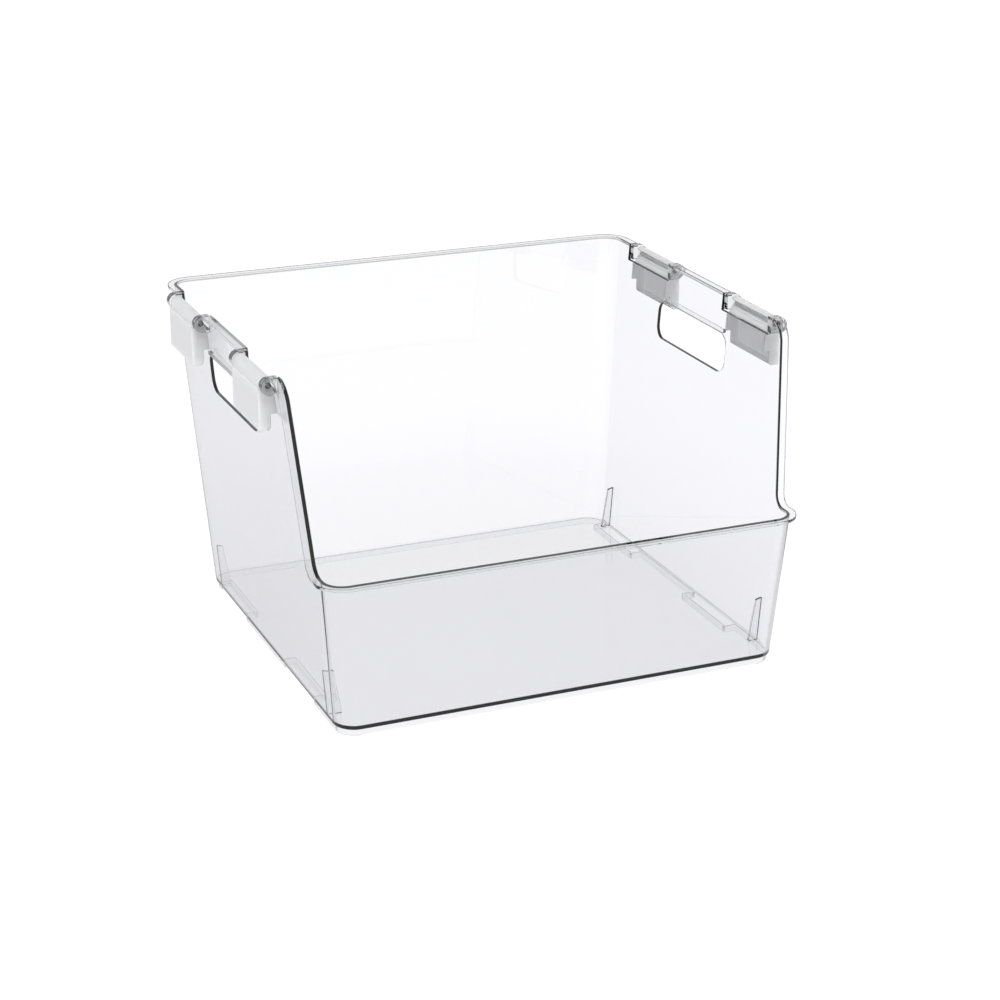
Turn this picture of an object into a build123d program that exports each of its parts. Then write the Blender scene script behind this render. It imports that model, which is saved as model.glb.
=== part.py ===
# Open-fronted stackable storage bin: a clear moulded tub whose side rims carry four flip brackets.
# Millimetres. X runs across the bin, the open front faces -Y, and Z is up from the surface it stands on.
# The origin is at the middle of the bin's outline, on that surface.
import os
from math import cos, radians, sin

from build123d import *

os.makedirs("parts", exist_ok=True)

# Tub, overall
rim_width = 406.0  # across the outer edges of the side rims
rim_depth = 363.0  # back rim edge to front rim edge
height = 258.0  # feet to rim top
front_height = 121.0  # feet to the low front rim
side_lean = 24.7  # how far the foot of each wall stands in from the rim edge above it
back_lean = 21.5
front_lean = 12.3
corner_radius = 17.0  # outside of the upright corners
floor_round = 1.8  # outside of the edge between floor and walls
inner_floor_round = 1.2

# Walls, floor and rim flange
wall = 2.6
floor_thickness = 2.8
flange = 4.9  # how far the rim flange stands out from the wall
flange_thickness = 2.8
slope_top = 57.5  # front rim edge back to where the sloping side edge would reach the rim top
slope_foot = 35.2  # and to where it would reach the front rim
slope_top_radius = 18.0
slope_foot_radius = 10.0

# Feet: a ring under the floor that steps in at each bracket, so that bins stack on the brackets
foot_height = 5.0
foot_inset = 1.9  # wall foot to the ring's outer face
foot_wall = 2.2
pocket_gap = 2.3  # ring to the inner edge of the flipped bracket it steps in for
pocket_end_gap = 3.6  # and to each end of that bracket

# Hinges: a notch in the side rim, with a fixed rod between two bosses
back_hinge_inset = 79.5  # back rim edge to the middle of the back bracket
front_hinge_inset = 113.0  # front rim edge to the middle of the front bracket
notch_length = 76.0
axis_out = 0.4  # rim edge out to the rod's axis
axis_down = 6.6  # rim top down to the rod's axis
rod_radius = 2.25
boss_radius = 6.3
boss_reach = 5.5  # how far each boss stands into the notch
boss_root = 2.0  # and how far it runs on beside the wall
boss_bite = 0.3  # how far its flat back runs into the wall

# Hand holes, with a finger bar along the top edge
hole_length = 118.0
hole_height = 31.0
hole_corner = 10.0
hole_drop = 32.3  # rim top down to the hole's top edge
bar_end_gap = 1.35  # bar's end to the bracket beside it, along the rim
bar_height = 3.4
bar_reach = 2.5

# Upright fins inside the side walls, near the four corners
fin_inset = 30.0  # foot of the front or back wall to the fin's middle
fin_thickness = 2.5
fin_top = 43.0
fin_foot_reach = 8.0
fin_top_reach = 4.7
fin_top_fall = 1.2  # how much lower the fin's top is at its inner end

# Flip brackets
rod_clearance = 0.08
end_clearance = 0.6  # bracket end to boss
seat_clearance = 0.3  # flipped bracket to the notch it rests over
wall_clearance = 0.6  # hanging bracket to the wall beside it
barrel_radius = 5.1
mouth_angle = 42.0  # half the opening of the clip-on barrel
neck_length = 8.0  # rod axis to the foot of the skirt under the barrel
skin = 2.2  # bracket wall
plate_out = 6.6  # rod axis to the plate's outer face
plate_top = 3.5  # rod axis down to the plate's top edge
plate_drop = 34.2  # rod axis down to the bracket's bottom
shelf_step = 22.4  # rod axis down to the step in the end caps
shelf_reach = 2.4  # rod axis in to the lower part of the caps
cap_corner = 3.0
hollow_corner = 4.0
edge_round = 0.8

# Places worked out from the sizes above
base_half = rim_width / 2 - side_lean
top_half = rim_width / 2 - flange
base_back = rim_depth / 2 - back_lean
base_front = rim_depth / 2 - front_lean
rim_wall = rim_depth / 2 - flange
floor_top = foot_height + floor_thickness
axis_x = rim_width / 2 + axis_out
axis_z = height - axis_down
notch_floor = axis_z - plate_out - seat_clearance
hinge_places = {
    "front": front_hinge_inset - rim_depth / 2,
    "back": rim_depth / 2 - back_hinge_inset,
}
bracket_length = notch_length - 2 * (boss_reach + end_clearance)
hollow_depth = plate_out - skin + plate_drop  # past the bracket's open side
pocket_length = bracket_length + 2 * pocket_end_gap
pocket_edge = axis_x - plate_drop - pocket_gap  # half width across the ring where it steps in
hole_middle = sum(hinge_places.values()) / 2
bar_length = hinge_places["back"] - hinge_places["front"] - bracket_length - 2 * bar_end_gap
hole_top = height - hole_drop
reach = rim_width + rim_depth  # longer than the bin any way across
boss_length = boss_reach + boss_root


# Half width of the tub to the outer face of a side wall, at height z.
def side_face(z):
    return base_half + (top_half - base_half) * (z - foot_height) / (height - foot_height)


# Distances from the origin to the outer faces of the front and back walls, at height z.
def front_face(z):
    return base_front + (rim_wall - base_front) * (z - foot_height) / (front_height - foot_height)


def back_face(z):
    return base_back + (rim_wall - base_back) * (z - foot_height) / (height - foot_height)


# A solid block with the tub's leaning faces, grown outward from the outer face of its walls,
# and with its bottom edge rounded if it has a foot_round.
def leaning_block(low, high, grow, foot_round=0):
    with BuildPart() as block:
        with BuildSketch(Plane.XZ) as across:
            with BuildLine():
                Polyline(
                    (-side_face(low) - grow, low),
                    (side_face(low) + grow, low),
                    (side_face(high) + grow, high),
                    (-side_face(high) - grow, high),
                    close=True,
                )
            make_face()
        extrude(amount=reach, both=True)
        with BuildSketch(Plane.YZ) as along:
            with BuildLine():
                Polyline(
                    (-front_face(low) - grow, low),
                    (back_face(low) + grow, low),
                    (back_face(high) + grow, high),
                    (-front_face(high) - grow, high),
                    close=True,
                )
            make_face()
        extrude(amount=reach, both=True, mode=Mode.INTERSECT)
        level_edges = block.edges().filter_by(Axis.X) + block.edges().filter_by(Axis.Y)
        fillet(block.edges() - level_edges, corner_radius + grow)
        if foot_round:
            fillet(block.edges().group_by(Axis.Z)[0], foot_round)
    return block.part


# The rim's line seen from the side: level, then down the sloping edge to the low front.
rim_line = [
    (reach, height),
    (slope_top - rim_depth / 2, height),
    (slope_foot - rim_depth / 2, front_height),
    (-reach, front_height),
]

with BuildPart() as rim:
    # the band just under the rim line, out to the flange's edge
    add(leaning_block(foot_height, height, flange))
    with BuildSketch(Plane.YZ) as band:
        with BuildLine():
            FilletPolyline(*rim_line, radius=[slope_top_radius, slope_foot_radius])
            Polyline(rim_line[-1], (-reach, -reach), (reach, -reach), rim_line[0])
        make_face()
        offset(amount=-flange_thickness, mode=Mode.SUBTRACT)
    extrude(amount=rim_width, both=True, mode=Mode.INTERSECT)

with BuildPart() as tub:
    # walls and floor, cut to halfway through the rim band above them
    add(leaning_block(foot_height, height, 0, floor_round))
    with BuildSketch(Plane.YZ) as below_rim:
        with BuildLine():
            FilletPolyline(*rim_line, radius=[slope_top_radius, slope_foot_radius])
            Polyline(rim_line[-1], (-reach, -reach), (reach, -reach), rim_line[0])
        make_face()
        offset(amount=-flange_thickness / 2, mode=Mode.REPLACE)
    extrude(amount=rim_width, both=True, mode=Mode.INTERSECT)
    add(rim.part)
    add(leaning_block(floor_top, height + wall, -wall, inner_floor_round), mode=Mode.SUBTRACT)

    # hand holes and the finger bars over them
    with BuildSketch(Plane.YZ) as hand_hole:
        with Locations((hole_middle, hole_top - hole_height / 2)):
            RectangleRounded(hole_length, hole_height, hole_corner)
    extrude(amount=rim_width, both=True, mode=Mode.SUBTRACT)
    for side in (-1, 1):
        bar_root = side_face(hole_top) - wall / 2
        with BuildSketch(Plane.YZ.offset(side * bar_root)) as bar:
            with Locations((hole_middle, hole_top + bar_height / 2)):
                SlotOverall(bar_length, bar_height)
        extrude(amount=side * (wall / 2 + bar_reach))

    # notches in the side rims, with their bosses and rods
    notch_height = height - notch_floor
    for side in (-1, 1):
        for place in hinge_places.values():
            with Locations((side * axis_x, place, notch_floor)):
                Box(4 * boss_radius, notch_length, 2 * notch_height,
                    align=(Align.CENTER, Align.CENTER, Align.MIN), mode=Mode.SUBTRACT)
            boss_back = side_face(axis_z - boss_radius) - boss_bite
            for end in (place + notch_length / 2 + boss_root, place - notch_length / 2 + boss_reach):
                with BuildSketch(Plane.XZ.offset(-end)) as boss:
                    with Locations((side * axis_x, axis_z)):
                        Circle(boss_radius)
                    with Locations((side * (boss_back + axis_x) / 2, axis_z)):
                        Rectangle(axis_x - boss_back, 2 * boss_radius)
                    with Locations((side * (boss_back - boss_radius), axis_z)):
                        Rectangle(2 * boss_radius, 2 * boss_radius, mode=Mode.SUBTRACT)
                extrude(amount=boss_length)
            with BuildSketch(Plane.XZ.offset(-(place + notch_length / 2))) as rod:
                with Locations((side * axis_x, axis_z)):
                    Circle(rod_radius)
            extrude(amount=notch_length)

    # fins between the side walls and the floor
    for side in (-1, 1):
        for middle in (fin_inset - base_front, base_back - fin_inset):
            foot_face = side_face(floor_top) - wall
            top_face = side_face(fin_top) - wall
            with BuildSketch(Plane.XZ.offset(-(middle + fin_thickness / 2))) as fin:
                with BuildLine():
                    Polyline(
                        (side * (foot_face + wall / 2), floor_top - floor_thickness / 2),
                        (side * (foot_face - fin_foot_reach), floor_top - floor_thickness / 2),
                        (side * (top_face - fin_top_reach), fin_top - fin_top_fall),
                        (side * top_face, fin_top),
                        (side * (top_face + wall / 2), fin_top),
                        close=True,
                    )
                make_face()
            extrude(amount=fin_thickness)

    # feet
    with BuildSketch(Plane.XY) as feet:
        with Locations((0, (base_back - base_front) / 2)):
            RectangleRounded(2 * (base_half - foot_inset), base_back + base_front - 2 * foot_inset,
                             corner_radius - foot_inset)
        for side in (-1, 1):
            for place in hinge_places.values():
                with Locations((side * base_half, place)):
                    Rectangle(2 * (base_half - pocket_edge), pocket_length, mode=Mode.SUBTRACT)
        offset(amount=-foot_wall, mode=Mode.SUBTRACT)
    extrude(amount=foot_height)

tub.part.label = "tub"
export_step(tub.part, "parts/tub.step")


# A point of the bracket's section, given out from the rod's axis and up from it.
def from_axis(side, out, up):
    return (side * (axis_x + out), axis_z + up)


# Where a hanging bracket's end caps stop short of the wall, out from the rod's axis.
def cap_edge(up):
    return side_face(axis_z + up) + wall_clearance - axis_x


for side_name, side in (("left", -1), ("right", 1)):
    for place_name, place in hinge_places.items():
        cap_top = notch_floor - axis_z
        back_end = place + bracket_length / 2
        with BuildPart() as bracket:
            # solid section: barrel, skirt, and the end caps' outline with its step
            with BuildSketch(Plane.XZ.offset(-back_end)) as section:
                with BuildLine():
                    Polyline(
                        from_axis(side, plate_out, -plate_top),
                        from_axis(side, plate_out, -plate_drop),
                        from_axis(side, -shelf_reach, -plate_drop),
                        from_axis(side, -shelf_reach, -shelf_step),
                        from_axis(side, cap_edge(-shelf_step), -shelf_step),
                        from_axis(side, cap_edge(cap_top), cap_top),
                        from_axis(side, -barrel_radius / 2, -plate_top),
                        close=True,
                    )
                make_face()
                low_corner = section.vertices().sort_by(Axis.Y)[:2].sort_by(Axis.X, reverse=side < 0)[0]
                fillet(low_corner, cap_corner)
                with Locations(from_axis(side, 0, 0)):
                    Circle(barrel_radius)
                with Locations(from_axis(side, barrel_radius / 2, -plate_top)):
                    Rectangle(barrel_radius, 2 * plate_top)
            extrude(amount=bracket_length)

            # hollow between the caps, open to the wall
            hollow_height = plate_drop - skin - neck_length
            with BuildSketch(Plane.YZ.offset(side * (axis_x + plate_out - skin))) as hollow:
                with Locations((place, axis_z - neck_length - hollow_height / 2)):
                    RectangleRounded(bracket_length - 2 * skin, hollow_height, hollow_corner)
            extrude(amount=-side * hollow_depth, mode=Mode.SUBTRACT)

            # bore for the rod, with the mouth that clips over it
            mouth_reach = 2 * barrel_radius
            with BuildSketch(Plane.XZ.offset(-back_end)) as bore:
                with Locations(from_axis(side, 0, 0)):
                    Circle(rod_radius + rod_clearance)
                with BuildLine():
                    Polyline(
                        from_axis(side, 0, 0),
                        from_axis(side, -mouth_reach * cos(radians(mouth_angle)),
                                  mouth_reach * sin(radians(mouth_angle))),
                        from_axis(side, -mouth_reach * cos(radians(mouth_angle)),
                                  -mouth_reach * sin(radians(mouth_angle))),
                        close=True,
                    )
                make_face()
            extrude(amount=bracket_length, mode=Mode.SUBTRACT)

            # soft outer corners between the plate and its caps
            upright = bracket.edges().filter_by(Axis.Z).group_by(Axis.X)[0 if side < 0 else -1]
            fillet(upright, edge_round)

        name = f"{place_name}_{side_name}_bracket"
        bracket.part.label = name
        export_step(bracket.part, f"parts/{name}.step")
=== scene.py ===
# Clear stackable storage bin with four frosted flip brackets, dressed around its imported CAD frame.
# Metres throughout. X runs across the bin, the open front faces -Y, and Z is up.
from math import cos, radians, sin

import bmesh
import bpy
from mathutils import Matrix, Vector


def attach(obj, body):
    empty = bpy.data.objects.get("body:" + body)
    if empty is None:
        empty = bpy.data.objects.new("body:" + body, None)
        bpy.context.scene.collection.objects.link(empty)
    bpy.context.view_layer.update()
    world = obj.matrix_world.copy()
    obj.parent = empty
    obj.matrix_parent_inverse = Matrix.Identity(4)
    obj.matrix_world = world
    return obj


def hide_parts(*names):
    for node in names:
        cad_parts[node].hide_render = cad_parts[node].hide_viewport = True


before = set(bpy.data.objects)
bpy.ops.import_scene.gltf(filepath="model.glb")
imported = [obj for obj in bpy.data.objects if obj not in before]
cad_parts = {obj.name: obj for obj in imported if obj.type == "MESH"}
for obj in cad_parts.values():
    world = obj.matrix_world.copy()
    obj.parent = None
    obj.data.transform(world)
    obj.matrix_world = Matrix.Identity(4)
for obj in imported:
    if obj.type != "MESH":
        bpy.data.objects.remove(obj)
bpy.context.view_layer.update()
millimetre = 0.001
print("frame loaded:", ", ".join(sorted(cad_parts)))


def linearColour(hexCode):
    parts = [int(hexCode[i:i + 2], 16) / 255 for i in (1, 3, 5)]
    return [p / 12.92 if p <= 0.04045 else ((p + 0.055) / 1.055) ** 2.4 for p in parts] + [1.0]


def addNode(tree, kind, settings=None, values=None, links=None):
    # settings are the node's own choices, values its unlinked sockets, links its fed sockets
    node = tree.nodes.new(kind)
    for name, value in (settings or {}).items():
        setattr(node, name, value)
    for name, value in (values or {}).items():
        node.inputs[name].default_value = value
    for name, source in (links or {}).items():
        tree.links.new(source, node.inputs[name])
    return node


def newMaterial(name):
    material = bpy.data.materials.new(name)
    material.use_nodes = True
    material.node_tree.nodes.clear()
    return material, material.node_tree


def finishMaterial(tree, surface, volume=None):
    links = {"Surface": surface.outputs[0]}
    if volume:
        links["Volume"] = volume.outputs[0]
    addNode(tree, "ShaderNodeOutputMaterial", links=links)


def dress(thing, material):
    thing.data.materials.clear()
    thing.data.materials.append(material)


clearPlastic = {
    "tint": "#FDFDFE",
    "ior": 1.57,  # PET
    "roughness": 0.0,
    "absorbColour": "#A9AAB0",
    "absorbDensity": 32.0,  # per metre
}


def makeClearPlastic():
    # injection-moulded clear PET: bright faces, grey only where light runs along inside the wall
    material, tree = newMaterial("clear moulded PET")
    surface = addNode(tree, "ShaderNodeBsdfPrincipled", values={
        "Base Color": linearColour(clearPlastic["tint"]),
        "Roughness": clearPlastic["roughness"],
        "IOR": clearPlastic["ior"],
        "Transmission Weight": 1.0,
    })
    volume = addNode(tree, "ShaderNodeVolumeAbsorption", values={
        "Color": linearColour(clearPlastic["absorbColour"]),
        "Density": clearPlastic["absorbDensity"],
    })
    finishMaterial(tree, surface, volume)
    return material


frostedPlastic = {
    "colour": "#F9FAFE",
    "ior": 1.5,  # polypropylene
    "roughness": 0.5,
    "transmission": 0.1,
    "subsurface": 0.9,
    "scatterDepth": 8 * millimetre,
}


def makeFrostedPlastic():
    # injection-moulded polypropylene with a fine matt surface: milky, a little light comes
    # through its thin walls, and highlights are broad and dull
    material, tree = newMaterial("frosted moulded polypropylene")
    surface = addNode(tree, "ShaderNodeBsdfPrincipled", values={
        "Base Color": linearColour(frostedPlastic["colour"]),
        "Roughness": frostedPlastic["roughness"],
        "IOR": frostedPlastic["ior"],
        "Transmission Weight": frostedPlastic["transmission"],
        "Subsurface Weight": frostedPlastic["subsurface"],
        "Subsurface Radius": (1.0, 1.0, 1.0),  # all colours scatter alike in white plastic
        "Subsurface Scale": frostedPlastic["scatterDepth"],
    })
    finishMaterial(tree, surface)
    return material


meshWork = {
    "mergeDistance": 0.001 * millimetre,
    "flatAngle": 0.3,  # degrees; faces closer than this to one plane become one
    "sharpAngle": 30,  # degrees; steeper outer edges get rounded
    "smoothAngle": 15,  # degrees; gentler edges are shaded smooth
}


def mergedCopy(nodeName, pieceName):
    # a copy of a CAD node with its loose triangles joined and laid out evenly again
    bpy.ops.object.select_all(action="DESELECT")
    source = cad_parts[nodeName]
    source.select_set(True)
    bpy.context.view_layer.objects.active = source
    bpy.ops.object.duplicate()
    piece = bpy.context.object
    piece.name = pieceName
    piece.data.name = pieceName
    piece.parent = None
    for tag in list(piece.keys()):
        del piece[tag]  # the copy isn't a CAD node any more
    bpy.ops.object.mode_set(mode="EDIT")
    bpy.ops.mesh.select_all(action="SELECT")
    bpy.ops.mesh.customdata_custom_splitnormals_clear()
    bpy.ops.mesh.remove_doubles(threshold=meshWork["mergeDistance"])
    bpy.ops.mesh.dissolve_limited(angle_limit=radians(meshWork["flatAngle"]))
    bpy.ops.mesh.quads_convert_to_tris(quad_method="BEAUTY", ngon_method="BEAUTY")
    bpy.ops.object.mode_set(mode="OBJECT")
    return piece


def roundEdges(piece, size):
    # moulded edges are never knife sharp: each outer one above the given height gets a small
    # radius that catches the light
    bpy.ops.object.mode_set(mode="EDIT")
    bpy.ops.mesh.select_mode(type="EDGE")
    bpy.ops.mesh.select_all(action="DESELECT")
    mesh = bmesh.from_edit_mesh(piece.data)
    for edge in mesh.edges:
        outward = edge.is_convex and edge.calc_face_angle(0) > radians(meshWork["sharpAngle"])
        if outward and min(corner.co.z for corner in edge.verts) > size["roundAbove"]:
            edge.select_set(True)
    bmesh.update_edit_mesh(piece.data)
    bpy.ops.mesh.bevel(offset=size["edgeRadius"], segments=size["edgeSegments"],
                       affect="EDGES", clamp_overlap=False, miter_outer="ARC")
    bpy.ops.object.mode_set(mode="OBJECT")
    bpy.ops.object.shade_smooth_by_angle(angle=radians(meshWork["smoothAngle"]))
    flatten = piece.modifiers.new("flat faces stay flat", "WEIGHTED_NORMAL")
    flatten.keep_sharp = True
    bpy.ops.object.modifier_apply(modifier=flatten.name)


tubPiece = {
    "node": "tub",
    "name": "clear_tub",
    "edgeRadius": 0.4 * millimetre,
    "edgeSegments": 2,
    "roundAbove": 6 * millimetre,  # the foot ring and the floor's edge keep their own shape
}

bracketPiece = {
    "edgeRadius": 0.35 * millimetre,
    "edgeSegments": 2,
    "roundAbove": 0.0,
}


def makeTub(material):
    piece = mergedCopy(tubPiece["node"], tubPiece["name"])
    roundEdges(piece, tubPiece)
    dress(piece, material)
    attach(piece, "tub")
    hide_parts(tubPiece["node"])


def makeBracket(nodeName, material):
    piece = mergedCopy(nodeName, nodeName.replace("bracket", "flip_bracket"))
    roundEdges(piece, bracketPiece)
    dress(piece, material)
    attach(piece, nodeName)
    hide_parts(nodeName)


clearMaterial = makeClearPlastic()
frostedMaterial = makeFrostedPlastic()
print("materials made")
makeTub(clearMaterial)
print("tub rounded and dressed")
for nodeName in sorted(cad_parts):
    if nodeName.endswith("bracket"):
        makeBracket(nodeName, frostedMaterial)
print("brackets rounded and dressed")


studio = {
    "floorSize": 16.0,
    "floorColour": "#7C7C7E",  # dull under its own glow, so it takes hardly any shade
    "floorRoughness": 0.9,
    "glowColour": "#F7F7F9",
    "floorGlow": 1.0,  # a light table, so clear plastic throws almost no shade on it
    "mirroredGlow": 0.66,  # what mirror reflections get, so walls seen edge-on look grey
    "lowLight": 1.0,  # the room's brightness at eye level
    "highLight": 0.7,  # and overhead
    "fadeFrom": 0.4,  # height on the room's dome where the fade starts: 0 is level, 1 overhead
    "fadeTo": 0.85,
    "keyPower": 40.0,
    "keySize": 1.6,
    "keyPlace": (-0.5, -2.0, 2.4),
    "keyAim": (0.0, 0.0, 0.1),
}


def makeFloor():
    bpy.ops.mesh.primitive_plane_add(size=studio["floorSize"])
    floor = bpy.context.object
    floor.name = "studio_floor"
    # lit opal acrylic: an even white with no gloss of its own
    material, tree = newMaterial("glowing white acrylic")
    path = addNode(tree, "ShaderNodeLightPath")
    glow = addNode(tree, "ShaderNodeMapRange", values={
        "To Min": studio["floorGlow"],
        "To Max": studio["mirroredGlow"],
    }, links={"Value": path.outputs["Glossy Depth"]})
    surface = addNode(tree, "ShaderNodeBsdfPrincipled", values={
        "Base Color": linearColour(studio["floorColour"]),
        "Roughness": studio["floorRoughness"],
        "Specular IOR Level": 0.0,
        "Emission Color": linearColour(studio["glowColour"]),
    }, links={"Emission Strength": glow.outputs["Result"]})
    finishMaterial(tree, surface)
    dress(floor, material)


def makeRoom():
    # the room fades from bright walls to a darker ceiling, which draws dark lines on clear edges
    world = bpy.data.worlds.new("studio")
    bpy.context.scene.world = world
    world.use_nodes = True
    tree = world.node_tree
    tree.nodes.clear()
    place = addNode(tree, "ShaderNodeTexCoord")
    split = addNode(tree, "ShaderNodeSeparateXYZ", links={"Vector": place.outputs["Generated"]})
    fade = addNode(tree, "ShaderNodeMapRange", {"interpolation_type": "SMOOTHSTEP"}, {
        "From Min": studio["fadeFrom"],
        "From Max": studio["fadeTo"],
        "To Min": studio["lowLight"],
        "To Max": studio["highLight"],
    }, {"Value": split.outputs["Z"]})
    light = addNode(tree, "ShaderNodeBackground", links={"Strength": fade.outputs["Result"]})
    addNode(tree, "ShaderNodeOutputWorld", links={"Surface": light.outputs["Background"]})


def makeSoftbox():
    data = bpy.data.lights.new("key_softbox", "AREA")
    data.energy = studio["keyPower"]
    data.size = studio["keySize"]
    lamp = bpy.data.objects.new("key_softbox", data)
    bpy.context.scene.collection.objects.link(lamp)
    lamp.location = studio["keyPlace"]
    lamp.visible_glossy = False  # no hard rectangle of light mirrored in the bin's floor
    lamp.visible_transmission = False
    towards = Vector(studio["keyAim"]) - Vector(studio["keyPlace"])
    lamp.rotation_euler = towards.to_track_quat("-Z", "Y").to_euler()


cameraSetup = {
    "target": (0.01703, 0.0, 0.09868),
    "azimuth": -22.74,  # degrees, 0 looks straight at the open front
    "elevation": 20.33,
    "distance": 1.8961,
    "lens": 85.65,  # mm
    "sensor": 36.0,  # mm
}


def makeCamera():
    around, up = radians(cameraSetup["azimuth"]), radians(cameraSetup["elevation"])
    back = Vector((sin(around) * cos(up), -cos(around) * cos(up), sin(up)))
    data = bpy.data.cameras.new("studio_camera")
    data.lens = cameraSetup["lens"]
    data.sensor_width = cameraSetup["sensor"]
    camera = bpy.data.objects.new("studio_camera", data)
    bpy.context.scene.collection.objects.link(camera)
    camera.location = Vector(cameraSetup["target"]) + back * cameraSetup["distance"]
    camera.rotation_euler = (-back).to_track_quat("-Z", "Y").to_euler()
    bpy.context.scene.camera = camera


makeFloor()
makeRoom()
makeSoftbox()
makeCamera()
bpy.context.scene.view_settings.view_transform = "Standard"
print("studio and camera set")
